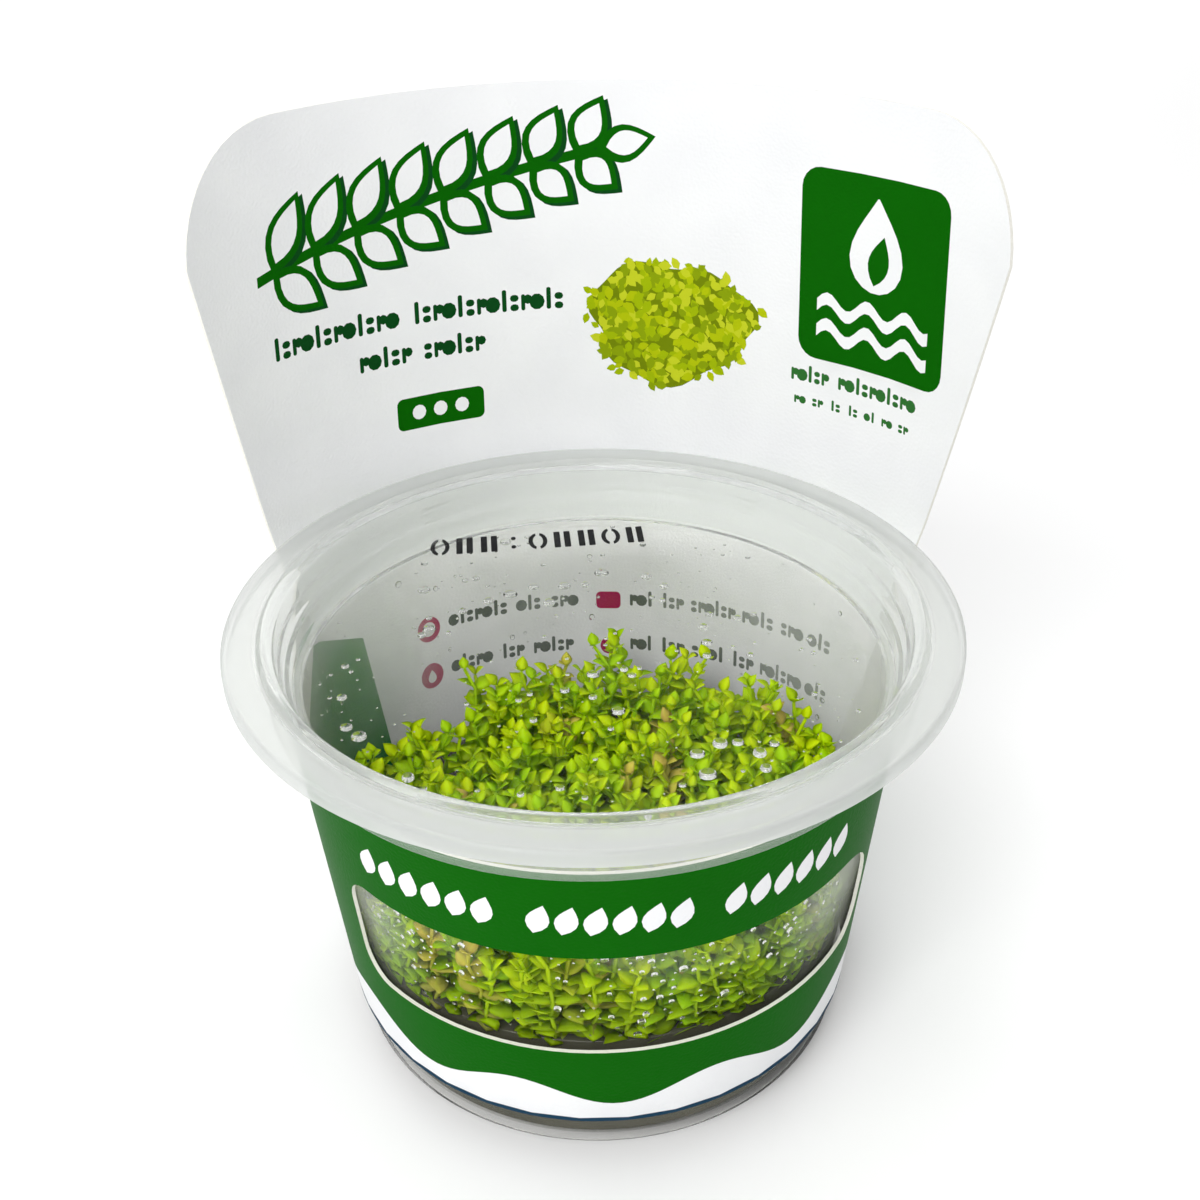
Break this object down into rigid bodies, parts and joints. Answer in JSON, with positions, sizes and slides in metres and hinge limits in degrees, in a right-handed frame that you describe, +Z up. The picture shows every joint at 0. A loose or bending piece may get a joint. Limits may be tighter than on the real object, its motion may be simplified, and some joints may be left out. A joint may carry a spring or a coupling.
{
  "type": "tissue-culture cup of dwarf baby tears",
  "caption": "Clear round lidded cup of small-leaved aquarium carpet plants on growing gel, in a printed card sleeve with a window and a tall curved header.",
  "frame": {"origin": "centre of the cup's flat base, on the surface it stands on", "axes": "+Z up along the cup's axis, the card's window faces -Y and its header stands at +Y"},
  "size_m": [0.1137, 0.1131, 0.1208],
  "materials": {
    "cup_plastic": "clear and slightly milky, glossy",
    "lid_plastic": "clear and slightly milky, glossy, with condensation",
    "printed_card": "smooth coated card, satin",
    "gel": "cloudy set gel, wet",
    "leaf": "thin fresh leaf, satin"
  },
  "bodies": {
    "root": {"cup": "cup_plastic", "lid": "lid_plastic", "card_sleeve": "printed_card", "growing_gel": "gel", "plant_clump_centre": "leaf", "plant_clump_front": "leaf", "plant_clump_front_right": "leaf", "plant_clump_back_right": "leaf", "plant_clump_back": "leaf", "plant_clump_back_left": "leaf", "plant_clump_front_left": "leaf"}
  },
  "joints": []
}
